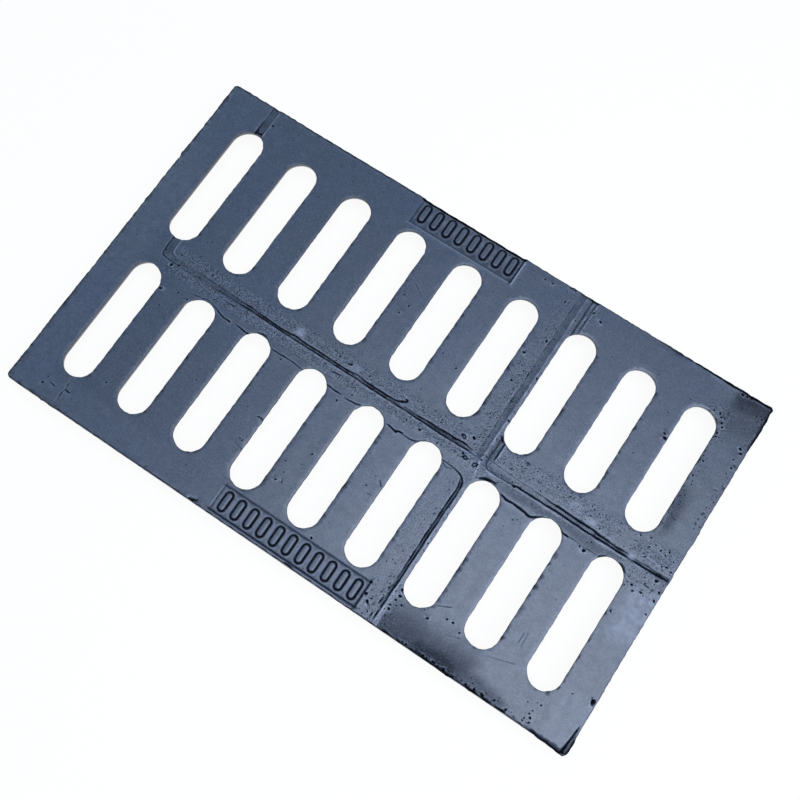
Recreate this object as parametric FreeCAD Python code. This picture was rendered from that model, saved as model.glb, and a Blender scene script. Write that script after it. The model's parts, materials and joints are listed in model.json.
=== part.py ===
"""Ductile iron channel cover: one casting with a slotted deck, a bearing skirt and cast ribs below."""
import FreeCAD, Part
import math
import os

V = FreeCAD.Vector

# Casting envelope, in millimetres and degrees
LENGTH = 500.0
WIDTH = 300.0
HEIGHT = 25.0
CORNER_RADIUS = 3.0
EDGE_RADIUS = 1.5
WALL_DRAFT = 2.0

# Deck and its slots, which open downwards so that grit falls through
DECK = 7.0
SLOT_WIDTH = 27.0
SLOT_PITCH = 52.3
SLOT_FLARE = 13.0
SLOT_LIP = 1.2
END_MARGIN = 26.0
SIDE_MARGIN = 27.5
MIDDLE_BAND = 27.0

# Skirt and ribs of the underside, measured at their feet
SKIRT = 9.0
RIB = 8.0
RIB_LIFT = 2.0
RIB_DRAFT = 3.0
RIB_STUB = 1.5
ROOT_RADIUS = 5.0

# Grooves that outline the four fields of the deck
GROOVE_WIDTH = 5.0
GROOVE_DEPTH = 1.2
GROOVE_CORNER = 5.0
UPPER_LEFT_GROOVE_Y = -2.7
UPPER_RIGHT_GROOVE_Y = -5.4
UPPER_LEFT_OFFSET = 1.2
UPPER_LEFT_END = 21.0
UPPER_RIGHT_OFFSET = 9.6
LOWER_GROOVE_WIDTH = 3.0
LOWER_GROOVE_DEPTH = 0.8
LOWER_GROOVE_CORNER = 4.5
LOWER_GROOVE_Y = -21.5
LOWER_LEFT_OFFSET = 4.0
LOWER_SPLIT_OFFSET = 17.6
LOWER_RIGHT_GROOVE_Y = -19.5

# Sunk panels near the long edges, each with a row of raised grip bars
PANEL_DEPTH = 1.2
PANEL_WIDTH = 22.0
FAR_PANEL_LENGTH = 95.0
FAR_PANEL_X = -16.0
NEAR_PANEL_LENGTH = 130.0
NEAR_PANEL_X = 6.0
NEAR_PANEL_RIM = 3.0
BAR_LENGTH = 15.0
BAR_WIDTH = 5.0
BAR_PITCH = 11.6
BAR_MARGIN = 6.0

# How far a cutting solid stands clear of the face that it cuts through
OVERRUN = 2.0


def slope(degrees):
    """Sideways run of a drafted wall per millimetre of height."""
    return math.tan(math.radians(degrees))


def centred_pattern(span, pitch):
    """Places of as many equal steps as the span holds, centred on zero."""
    steps = int(span // pitch)
    return [(index - steps / 2) * pitch for index in range(steps + 1)]


ROOT_Z = HEIGHT - DECK
FOOT_X = LENGTH / 2 - HEIGHT * slope(WALL_DRAFT)
FOOT_Y = WIDTH / 2 - HEIGHT * slope(WALL_DRAFT)
SLOT_LENGTH = (WIDTH - 2 * SIDE_MARGIN - MIDDLE_BAND) / 2
SLOT_ROW_Y = (MIDDLE_BAND + SLOT_LENGTH) / 2
SLOT_PLACES = centred_pattern(LENGTH - 2 * END_MARGIN - SLOT_WIDTH, SLOT_PITCH)


def flat_edges(shape, z):
    """Edges of a shape that lie level at height z."""
    flat = 1e-4
    return [edge for edge in shape.Edges
            if abs(edge.BoundBox.ZMin - z) < flat and abs(edge.BoundBox.ZMax - z) < flat]


def drafted_block(foot, foot_z, top, top_z):
    """Four-sided block between two level rectangles."""
    x0, x1, y0, y1 = foot
    top_x0, top_x1, top_y0, top_y1 = top
    block = Part.makeWedge(x0, foot_z, -y1, -top_y1, top_x0, x1, top_z, -y0, -top_y0, top_x1)
    return block.rotated(V(0, 0, 0), V(1, 0, 0), 90)


def upright_edges(block):
    """Edges at the corners of a drafted block."""
    return [edge for edge in block.Edges if edge.BoundBox.ZLength > block.BoundBox.ZLength / 2]


def outer_block():
    """Drafted block of the whole casting."""
    foot = (-FOOT_X, FOOT_X, -FOOT_Y, FOOT_Y)
    top = (-LENGTH / 2, LENGTH / 2, -WIDTH / 2, WIDTH / 2)
    block = drafted_block(foot, 0, top, HEIGHT)
    block = block.makeFillet(CORNER_RADIUS, upright_edges(block))
    return block.makeFillet(EDGE_RADIUS, flat_edges(block, HEIGHT))


def pocket(x0, x1, y0, y1):
    """Drafted hollow of the underside, given by its mouth at the foot of the casting."""
    def outline(z):
        inset = z * slope(RIB_DRAFT)
        return (x0 + inset, x1 - inset, y0 + inset, y1 - inset)
    hollow = drafted_block(outline(-OVERRUN), -OVERRUN, outline(ROOT_Z), ROOT_Z)
    return hollow.makeFillet(ROOT_RADIUS, flat_edges(hollow, ROOT_Z))


def pockets():
    """One hollow under each slot, parted by the cross ribs and the middle rib."""
    skirt_x = FOOT_X - SKIRT
    skirt_y = FOOT_Y - SKIRT
    reach = (SLOT_PITCH - RIB) / 2
    hollows = []
    for place in SLOT_PLACES:
        left = -skirt_x if place == SLOT_PLACES[0] else place - reach
        right = skirt_x if place == SLOT_PLACES[-1] else place + reach
        hollows.append(pocket(left, right, RIB / 2, skirt_y))
        hollows.append(pocket(left, right, -skirt_y, -RIB / 2))
    return hollows


def rib_relief():
    """Shallow cut that lifts the feet of the ribs, so that only the skirt bears."""
    x = FOOT_X - SKIRT - RIB_STUB
    y = FOOT_Y - SKIRT - RIB_STUB
    return Part.makeBox(2 * x, 2 * y, OVERRUN + RIB_LIFT, V(-x, -y, -OVERRUN))


def slot_layer(x, y, top_z, top_radius, foot_z, foot_radius):
    """Round-ended layer of a slot whose walls lean from one half width to another."""
    half_run = (SLOT_LENGTH - SLOT_WIDTH) / 2
    depth = top_z - foot_z
    ends = [Part.makeCone(top_radius, foot_radius, depth, V(x, y + side, top_z), V(0, 0, -1))
            for side in (-half_run, half_run)]
    section = [V(x - top_radius, y - half_run, top_z), V(x + top_radius, y - half_run, top_z),
               V(x + foot_radius, y - half_run, foot_z), V(x - foot_radius, y - half_run, foot_z)]
    run = Part.Face(Part.makePolygon(section + section[:1])).extrude(V(0, 2 * half_run, 0))
    return run.fuse(ends).removeSplitter()


def slot(x, y):
    """Slot with an eased mouth, narrowest just below it and widening downwards from there."""
    throat = SLOT_WIDTH / 2
    throat_z = HEIGHT - SLOT_LIP
    top_z = HEIGHT + OVERRUN
    foot_z = ROOT_Z - OVERRUN
    mouth = slot_layer(x, y, top_z, throat + top_z - throat_z, throat_z, throat)
    flare = slot_layer(x, y, throat_z, throat, foot_z, throat + (throat_z - foot_z) * slope(SLOT_FLARE))
    return mouth.fuse(flare)


def slots():
    """Both rows of slots."""
    return [slot(x, y) for x in SLOT_PLACES for y in (SLOT_ROW_Y, -SLOT_ROW_Y)]


def groove(points, width, depth, corner):
    """Round-bottomed channel in the deck along level runs that turn by right angles."""
    radius = (width * width / 4 + depth * depth) / (2 * depth)
    path = [V(x, y, HEIGHT - depth + radius) for x, y in points]

    def disc(centre, direction):
        return Part.Face(Part.Wire([Part.makeCircle(radius, centre, direction)]))

    pieces = []
    start = path[0]
    for before, turn, after in zip(path, path[1:], path[2:]):
        arriving = (turn - before).normalize()
        leaving = (after - turn).normalize()
        bend_start = turn - arriving * corner
        axis = arriving.cross(leaving)
        pieces.append(disc(start, arriving).extrude(bend_start - start))
        pieces.append(disc(bend_start, arriving).revolve(bend_start + leaving * corner, axis, 90))
        start = turn + leaving * corner
    pieces.append(disc(start, path[-1] - start).extrude(path[-1] - start))
    return pieces[0].fuse(pieces[1:]).removeSplitter() if len(pieces) > 1 else pieces[0]


def grooves():
    """Channels that outline the upper two fields, the lower left field and the lower right one."""
    far = WIDTH / 2 + OVERRUN
    right = LENGTH / 2 + OVERRUN
    first = SLOT_PLACES[0]
    split = SLOT_PLACES[-3]
    upper_left_x = first + UPPER_LEFT_OFFSET
    upper_right_x = split - UPPER_RIGHT_OFFSET
    lower_left_x = first + LOWER_LEFT_OFFSET
    lower_split_x = split - LOWER_SPLIT_OFFSET
    upper_left = [(upper_left_x, far), (upper_left_x, UPPER_LEFT_GROOVE_Y),
                  (split - UPPER_LEFT_END, UPPER_LEFT_GROOVE_Y)]
    upper_right = [(upper_right_x, far), (upper_right_x, UPPER_RIGHT_GROOVE_Y), (right, UPPER_RIGHT_GROOVE_Y)]
    lower_left = [(lower_left_x, -far), (lower_left_x, LOWER_GROOVE_Y),
                  (lower_split_x, LOWER_GROOVE_Y), (lower_split_x, -far)]
    lower_right = [(split, LOWER_RIGHT_GROOVE_Y), (right, LOWER_RIGHT_GROOVE_Y)]
    upper = [groove(run, GROOVE_WIDTH, GROOVE_DEPTH, GROOVE_CORNER) for run in (upper_left, upper_right)]
    lower = [groove(run, LOWER_GROOVE_WIDTH, LOWER_GROOVE_DEPTH, LOWER_GROOVE_CORNER)
             for run in (lower_left, lower_right)]
    return upper + lower


def grip_bar(x, y):
    """Long six-sided bar that rises from the floor of a panel."""
    half_width = BAR_WIDTH / 2
    half_length = BAR_LENGTH / 2
    shoulder = half_length - half_width
    outline = [(half_width, -shoulder), (half_width, shoulder), (0, half_length),
               (-half_width, shoulder), (-half_width, -shoulder), (0, -half_length)]
    points = [V(x + across, y + along, HEIGHT - PANEL_DEPTH) for across, along in outline]
    return Part.Face(Part.makePolygon(points + points[:1])).extrude(V(0, 0, PANEL_DEPTH + OVERRUN))


def panel(x, length, y0, y1, bar_y):
    """Sunk panel, less the grip bars that stay standing in it level with the deck."""
    recess = Part.makeBox(length, y1 - y0, PANEL_DEPTH + OVERRUN, V(x - length / 2, y0, HEIGHT - PANEL_DEPTH))
    places = centred_pattern(length - 2 * BAR_MARGIN, BAR_PITCH)
    return recess.cut([grip_bar(x + place, bar_y) for place in places])


def panels():
    """Panel that opens through the far edge, and panel behind a rim at the near edge."""
    far_edge = WIDTH / 2
    near_edge = NEAR_PANEL_RIM - WIDTH / 2
    far_inner = far_edge - PANEL_WIDTH
    near_inner = near_edge + PANEL_WIDTH
    far_panel = panel(FAR_PANEL_X, FAR_PANEL_LENGTH, far_inner, far_edge + OVERRUN, far_edge - PANEL_WIDTH / 2)
    near_panel = panel(NEAR_PANEL_X, NEAR_PANEL_LENGTH, near_edge, near_inner, near_edge + PANEL_WIDTH / 2)
    return [far_panel, near_panel]


def channel_cover():
    """The whole casting."""
    casting = outer_block().cut(pockets() + [rib_relief()] + slots())
    casting = casting.cut(panels() + grooves())
    return casting.Solids[0]


os.makedirs("parts", exist_ok=True)
channel_cover().exportStep("parts/channel_cover.step")
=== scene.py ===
import json
import math

import bmesh
import bpy
import numpy as np
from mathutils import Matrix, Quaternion, Vector, noise
from mathutils.geometry import delaunay_2d_cdt


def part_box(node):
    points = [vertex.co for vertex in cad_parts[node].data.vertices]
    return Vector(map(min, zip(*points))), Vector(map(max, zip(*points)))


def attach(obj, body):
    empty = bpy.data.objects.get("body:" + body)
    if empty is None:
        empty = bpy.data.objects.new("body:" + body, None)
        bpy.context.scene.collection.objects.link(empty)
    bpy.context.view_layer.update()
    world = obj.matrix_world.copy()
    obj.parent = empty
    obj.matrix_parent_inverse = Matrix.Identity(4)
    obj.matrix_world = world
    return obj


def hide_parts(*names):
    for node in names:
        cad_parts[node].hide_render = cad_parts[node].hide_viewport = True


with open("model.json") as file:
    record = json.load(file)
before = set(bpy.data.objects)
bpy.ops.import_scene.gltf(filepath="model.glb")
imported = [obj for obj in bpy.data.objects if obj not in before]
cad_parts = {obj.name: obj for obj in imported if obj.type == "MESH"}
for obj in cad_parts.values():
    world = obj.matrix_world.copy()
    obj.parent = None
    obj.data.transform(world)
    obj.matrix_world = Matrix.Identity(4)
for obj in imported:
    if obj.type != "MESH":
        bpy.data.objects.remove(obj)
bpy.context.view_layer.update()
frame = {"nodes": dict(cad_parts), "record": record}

# Sizes below are in millimetres in the cover's own frame, and become metres where a mesh is made
MM = 0.001
COVER = "channel_cover"
cover_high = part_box(COVER)[1]
HALF_LENGTH = cover_high.x / MM
HALF_WIDTH = cover_high.y / MM
DECK_Z = cover_high.z / MM
CORNER_RADIUS = 3.0
SEED = 11
SHARP_ANGLE = math.radians(42)

# Slots: round ends of this radius about a straight run of this half length
SLOT_RADIUS = 13.5
SLOT_HALF_RUN = 41.0

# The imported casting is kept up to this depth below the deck; the deck above it is carved here
CUT_DEPTH = 3.0
RIM_STEP = 1.7

# Lips, as depth below the deck and distance out from a slot's throat or in from the outer wall
SLOT_LIP = ((1.7, 0.05), (1, 0), (0.5, 0.04), (0.22, 0.14), (0.06, 0.3), (0, 0.5))
EDGE_LIP = ((1.9, 0), (1.3, 0), (0.75, 0.05), (0.4, 0.15), (0.17, 0.32), (0.04, 0.55), (0, 0.8), (0, 1.3))
SLOT_RAGGED = 0.45
EDGE_RAGGED = 0.55

# Columns of slots, from the left: how far their lips stand to the right of the pattern, and how much wider
COLUMN_LIPS = ((-0.5, 0.1), (-0.2, 0.1), (0.4, 0), (0.65, -0.1), (0.55, -0.2), (0.1, -0.1), (-0.1, 0.05),
               (0.1, 0.1), (0.3, 0.1))

# Metal that stands out along the right and far sides
RIGHT_STAND = 1.0
FAR_STAND = 0.6

# Near row, from the left: how far metal has run into each slot's far end, and more of it per mm to the right
RUN_INS = ((0.7, 0.08), (3.2, -0.11), (1.7, 0.02), (1.1, 0.02), (1.3, -0.05), (0.4, 0.03), (2, 0), (0.3, 0),
           (0, 0))

# Places where metal has run past the outer edge: x, y, reach and how far it stands out along x and y
RUN_OUTS = ((250, 150, 9, 0.8, 0.6), (250, 128, 26, 1.2, 0), (247, -150, 9, 0.5, -1.3),
            (250, -140, 11, 1.2, 0), (228, -150, 5, 0, -0.6), (238, -150, 16, 0, -1.1),
            (-250, 76, 3, -0.9, 0), (-215, -150, 4, 0, -0.6), (-205, -150, 4, 0, -0.6),
            (60, -150, 9, 0, -0.5), (250, -4, 6, 0.8, 0), (250, 30, 16, 0.7, 0), (150, -150, 14, 0, -0.7))

# Seams left by the pattern's loose strips: a corner radius, how broken the lines are, and the lines, as
# knots of x, y and depth. A deeper seam is a wider one, painted black as painted shade in the crease. Its
# shoulders rise a little, and carry a painted highlight.
SEAM_STEP = 1.2
SEAM_REACH = 3.6
SHOULDER_HEIGHT = 0.07
SHOULDER_HIGHLIGHT = 0.28
SEAMS = (
    # Far left field: its outer line, its inner line as far as the hook, the rest of the inner line, and the
    # black end of their strip at the first slot
    (5, 0.2, ((-211, 151, 0.25), (-210.8, 138, 0.4), (-210.8, 123, 0.7), (-211, 14, 0.8),
      (-211, -4.3, 0.7), (-196, -4.6, 0.25), (-160, -4.5, 0.35), (-130, -3.6, 0.6), (-110, -3.6, 0.7),
      (-100, -4.3, 0.7), (-80, -4.4, 0.75), (-45, -4, 0.7), (-20, -4.2, 0.8), (20, -4.3, 0.75),
      (40, -4.4, 0.9), (52, -5, 1), (66, -4.4, 0.8), (80, -4.3, 0.3), (86, -4.4, 0.05))),
    (4, 0.2, ((-205.3, 151, 0.3), (-205.3, 123, 0.5), (-205.3, 14, 0.4), (-205.3, 0.3, 0.5),
      (-196, -0.3, 0.15), (-160, -0.8, 0.3), (-125, -1.6, 0.55), (-110, -2.2, 0.75), (-100, -2.8, 0.8),
      (-90, -2.3, 0.8), (-82, -1.5, 0.85), (-75, -2.3, 0.75), (-58, -2, 0.75), (-45, -2.3, 0.8),
      (-32, -2, 0.85), (-25, -1, 0.8), (-19, -2, 0.85), (0, -2.2, 0.8), (8, -1.8, 0.9), (12, -1, 1),
      (14.2, 0.3, 1.1), (16.6, 0.9, 1.3), (17.8, 2.2, 1.2), (17, 3.6, 0.9), (16.2, 3.2, 0.6))),
    (1, 0.3, ((18, -2.2, 0.3), (23, -2.4, 0.7), (30, -2.4, 0.6), (42, -2, 1), (50, -1.8, 1),
      (62, -1.3, 1), (70, -1.2, 0.9), (79, -1.8, 0.2))),
    (1, 0, ((-211, 124, 0.5), (-208, 124.4, 0.9), (-205.6, 123.8, 0.6))),
    # Cross band between the left and right fields, then the far right field's outer and inner line
    (1, 0.5, ((82.4, 151, 0.3), (82.6, 60, 0.4), (82.8, 20, 0.32), (83.2, -2, 0.15))),
    (4.5, 0.2, ((93, 151, 0.5), (93, 118, 0.55), (93, 14, 0.55), (93, 2, 0.5), (93, -8.2, 0.35),
      (105, -8.5, 0.35), (115, -8.4, 0.5), (122, -7.1, 1), (135, -7.3, 1.2), (155, -6.9, 1.2),
      (165, -7.5, 1.2), (175, -7.2, 1.3), (180, -7.9, 1.3), (190, -7.1, 1.3), (214, -7.1, 1.2),
      (219, -6.9, 0.25), (223, -6.6, 1.1), (232, -7, 1.2), (241, -6.3, 1.1), (250, -5.8, 1.1))),
    (2, 0.3, ((96.6, 151, 0.3), (96.8, 118, 0.4), (96.8, 16, 0.75), (96.8, 3, 0.75), (97, -1.2, 0.25),
      (104, -1.6, 0.15), (120, -2.6, 0.2), (141, -3, 0.4), (150, -3.2, 1), (165, -3.7, 1.2),
      (183, -3.7, 1.3), (192, -4.5, 1.2), (206, -5, 1), (212, -4.6, 0.7), (218, -5, 0.1),
      (226, -4.8, 0.5), (233, -4.4, 0.4), (242, -5, 0.5), (249, -4.4, 0.5))),
    # Near left field: hairlines between the slots, then its corner and the double line of its right side
    (3, 0.2, ((-180, -20.3, 0.2), (-166, -17, 0.35), (-157, -14.6, 0.4), (-149, -16.3, 0.4),
      (-140, -20, 0.7), (-132.5, -20.3, 0.9))),
    (1, 0.2, ((-127, -19.5, 0.4), (-118, -20.3, 0.8), (-114, -20.4, 0.6))),
    (4, 0, ((-110, -15.5, 0.4), (-105, -14.3, 0.8), (-100.5, -14.6, 0.4))),
    (2, 0.2, ((-94, -20.3, 0.5), (-85, -20.3, 0.6), (-78, -19.8, 0.6), (-70, -20.3, 0.5),
      (-63, -20.9, 0.5)), ((-42, -20.3, 0.6), (-33, -20.8, 0.7), (-28, -20.6, 0.5)), ((-24, -21.2, 0.4),
      (-20, -21.3, 0.7), (-15, -21, 0.7), (-10, -19.6, 0.6))),
    (1, 0.2, ((14, -20.5, 0.2), (17, -20.9, 0.9), (20, -21.6, 1.2), (23.5, -22.3, 1.1)),
      ((23, -21.4, 0.9), (25.5, -20.4, 1.1), (28, -20.2, 0.9))),
    (2, 0.2, ((28, -21.1, 0.3), (38, -20.7, 0.5), (43, -18, 0.5), (46, -15.4, 0.3))),
    (1, 0, ((56, -14.8, 0.5), (62, -18.6, 0.7))),
    (4, 0.1, ((62, -20.4, 0.5), (72, -21, 0.5), (79, -21.8, 0.6), (84, -23.8, 0.8), (86.8, -28, 0.9),
      (87.2, -34, 0.8), (86.9, -100, 0.8), (86.8, -136, 0.8))),
    (2, 0.3, ((83.5, -25.5, 0.5), (85.1, -31, 0.8), (85, -60, 0.8), (84.9, -112, 0.5))),
    (1, 0.9, ((86.8, -136, 0.8), (86.6, -151, 0.8)), ((84.7, -112, 0.4), (83.8, -151, 0.5))),
    (1, 0, ((66, -22.4, 0.4), (70, -24, 0.4), (74, -22.6, 0.3))),
    # Near right field: the black line from slot to slot, black arcs along the slots' far lips, and a black
    # spot on the lip of the slot above
    (1.5, 0.1, ((115, -18.8, 0.9), (120, -19.8, 1.2), (126, -19.6, 1.2), (131, -20, 1.2),
      (137, -20.2, 1.2), (140, -21.4, 1.3), (143, -20.8, 1.2), (145.5, -18.8, 1.2), (148, -17.2, 1),
      (151, -16, 0.7))),
    (3, 0, ((95.2, -17.7, 0.9), (97.5, -15.9, 1.5), (101, -14.6, 1.5), (106.4, -13.9, 0.9))),
    (1, 0, ((91.8, 18.6, 0.6), (93.4, 17.2, 1.3), (94.6, 16, 0.7))),
    (2, 0, ((163, -15.4, 0.6), (166, -17.5, 1), (171.5, -18.1, 1)), ((198.5, -18.3, 1),
      (200.5, -16.4, 1.5), (203, -15, 0.8)), ((213.5, -13.6, 0.8), (217, -15.2, 1.4), (220, -17.3, 0.9))),
    (1, 0.6, ((172, -17.8, 0.2), (240, -17.5, 0.3))),
    # Middle band: short strokes and a soft line
    (1, 0, ((-146, -8.3, 0.3), (-142, -8.2, 0.5), (-136.6, -7.9, 0.7)), ((-45, -9.6, 0.3),
      (-41, -9.2, 0.8), (-37, -8.8, 0.5))),
    (1, 0.5, ((-135, -14, 0.2), (-40, -14.2, 0.2))),
    # Near left corner: a broken hairline and two dashes
    (1, 0.5, ((-205.6, -123, 0.5), (-205.4, -151, 0.5))),
    (1, 0, ((-219, -135.3, 0.2), (-214, -136, 0.65)), ((-204.6, -133.8, 0.5), (-201, -134.2, 0.65))),
    # Near right corner: a black wedge beside the right edge, and thick black along the near edge
    (4, 0, ((249.3, -127.5, 0.4), (248.4, -134, 1), (247.7, -141, 1.7), (247.2, -147, 2.1))),
    (1, 0, ((251, -134, 0.9), (251.1, -141, 1.2), (251, -150, 1.2)), ((222, -148.6, 1.4),
      (226, -149.4, 2.8), (233, -149.5, 2.4), (241, -149.7, 3), (250, -149.9, 3.2))),
    # Scratches and short marks on the bars
    (1, 0, ((120, -113, 0.12), (129, -108.4, 0.25)), ((137, -126.3, 0.1), (146, -123.4, 0.16))),
    (1, 0.3, ((170, -122.8, 0.1), (189, -116.4, 0.12))),
    (1, 0, ((182.5, -95.5, 0.15), (182.3, -102, 0.2)), ((185.2, -94.5, 0.15), (185.3, -102, 0.18)),
      ((-69.5, -69.8, 0.5), (-65, -69.8, 0.5))),
    (1, 0.3, ((-73, -95.5, 0.15), (-65.5, -97, 0.25))),
    (1, 0.6, ((-34, 88, 0.15), (-16, 77, 0.25))),
    (1, 0, ((32, -72.6, 0.2), (35, -72.4, 0.3)), ((35.5, -60.5, 0.3), (37.5, -62.5, 0.4))),
    # Black lumps on the near edge
    (1, 0, ((-76, -148.8, 1), (-71, -147.8, 1.3)), ((11, -148.6, 1.2), (17, -148.4, 1.2))),
    # Black bits along the outer edges
    (1, 0.9, ((197, -148.8, 1), (202, -149, 0.2), (222, -149, 0.4))),
    (1, 0.7, ((92, -149.2, 0.8), (112, -149.3, 1.3), (128, -149.2, 1.7), (146, -149.4, 2),
      (160, -149.3, 1.6), (180, -149.2, 1.4), (200, -149, 1))),
    (1, 0.35, ((-249.2, 150, 0.45), (-249.2, -150, 0.45)), ((-250, 149.3, 0.45), (-66, 149.3, 0.45)),
      ((-250, -149.3, 0.45), (-80, -149.3, 0.45))),
    (1, 0.3, ((250.6, 150, 1.4), (250.8, 132, 1.2), (250.4, 112, 0.7))),
    (1, 0, ((31.5, 149.4, 1.5), (-64.5, 149.4, 1.7)), ((72, 149.1, 0.7), (74.5, 148.9, 1.2),
      (78, 149.2, 0.5)), ((84, 149.4, 0.5), (90, 149.3, 0.6), (94, 148.8, 1.2), (98, 149.1, 0.6))),
    (1, 0.2, ((150, 149.6, 0.3), (190, 149.5, 0.9), (200, 149.2, 1.4), (250, 149.2, 1.7))),
)

# Fine ridges beside the seams, with height as a knot's third number; higher ones carry a brighter painted
# highlight
RIDGE_HIGHLIGHT = 3.2
RIDGES = (
    (1, 0.5, ((88.4, 151, 0.16), (88.4, 40, 0.24), (88.4, 20, 0.34), (88.4, -6, 0.36), (90.6, -20, 0.2)),
      ((98.2, 151, 0.12), (98.2, 18, 0.34), (98.2, 1, 0.42))),
    (1, 0.4, ((94.9, 151, 0.14), (94.9, 119, 0.2))),
    (3, 0.4, ((-204, 40, 0.15), (-204, 1.5, 0.22), (-196, 1, 0.1))),
    (1, 0.5, ((-204, 151, 0.12), (-204, 122, 0.15))),
    (1, 0.4, ((88.6, -30, 0.2), (88.4, -100, 0.25), (88.4, -136, 0.35), (88.3, -151, 0.25))),
    (1, 0.2, ((249.4, -134, 0.2), (249.4, -147, 0.3))),
    (1, 0.5, ((90.3, -100, 0.12), (90.4, -151, 0.2)), ((97, -9.9, 0.16), (122, -9, 0.16),
      (216, -9, 0.18)), ((-125, -5.5, 0.12), (40, -5.8, 0.15), (80, -5.6, 0.12))),
    (2, 0.3, ((228, 1.2, 0.1), (236, 0.5, 0.25), (244, 0.9, 0.25), (246, 4, 0.1))),
)

# Strips between two seams that lie a little below the deck: box, soft width, depth and darkness of the
# painted shade in them
SUNK_STRIPS = (
    ((-211, -205.3, -3, 152), 1.2, 0.35, 0.35),
    ((-211, -205.3, 120, 152), 1.2, 0.05, 0.45),
    ((-203, -112, -4.8, -0.4), 3, 0.45, 0.42),
    ((-118, 78, -4.4, -1.9), 1, 0.3, 0.35),
    ((39, 68, -4.6, -1.3), 1, 0.3, 0.75),
    ((82.5, 88, -4, 152), 2.5, 0.3, 0.35),
    ((93, 97, -6, 152), 1, 0.3, 0.25),
    ((91.5, 95.5, 119, 152), 2, 0.25, 0.4),
    ((97, 250, -7.6, -3.4), 1, 0.35, 0.12),
    ((91, 94, -6, 19), 2, 0.1, 0.5),
    ((85, 87, -138, -27), 1, 0.4, 0.5),
)

# Sunk panels with raised grip bars: box, darkness of the painted shade on the floor, and how black the
# painted shade inside and how pale the painted highlight outside their left, right, near and far walls are
PANEL_DEPTH = 1.2
PANEL_WALL = 1.0
PANEL_LINE = 0.8
BAR_LINE = 0.55
FAR_PANEL = (-63.5, 31, 127, 153)
NEAR_PANEL = (-59, 71, -147, -125.5)
PANELS = ((FAR_PANEL, 0.35, (0.4, 1, 0.1, 1), (0, 0.9, 0.35, 0)),
          (NEAR_PANEL, 0.15, (0.35, 1, 1, 0.55), (0.1, 0.35, 0.25, 0)))
BAR_PITCH = 11.6
BAR_HALF_RUN = 5.0
BAR_RADIUS = 2.5
BAR_WALL = 1.2
BARS = [(-16 + (index - 3.5) * BAR_PITCH, 139) for index in range(8)]
BARS += [(6 + (index - 5) * BAR_PITCH, -136) for index in range(11)]
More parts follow.
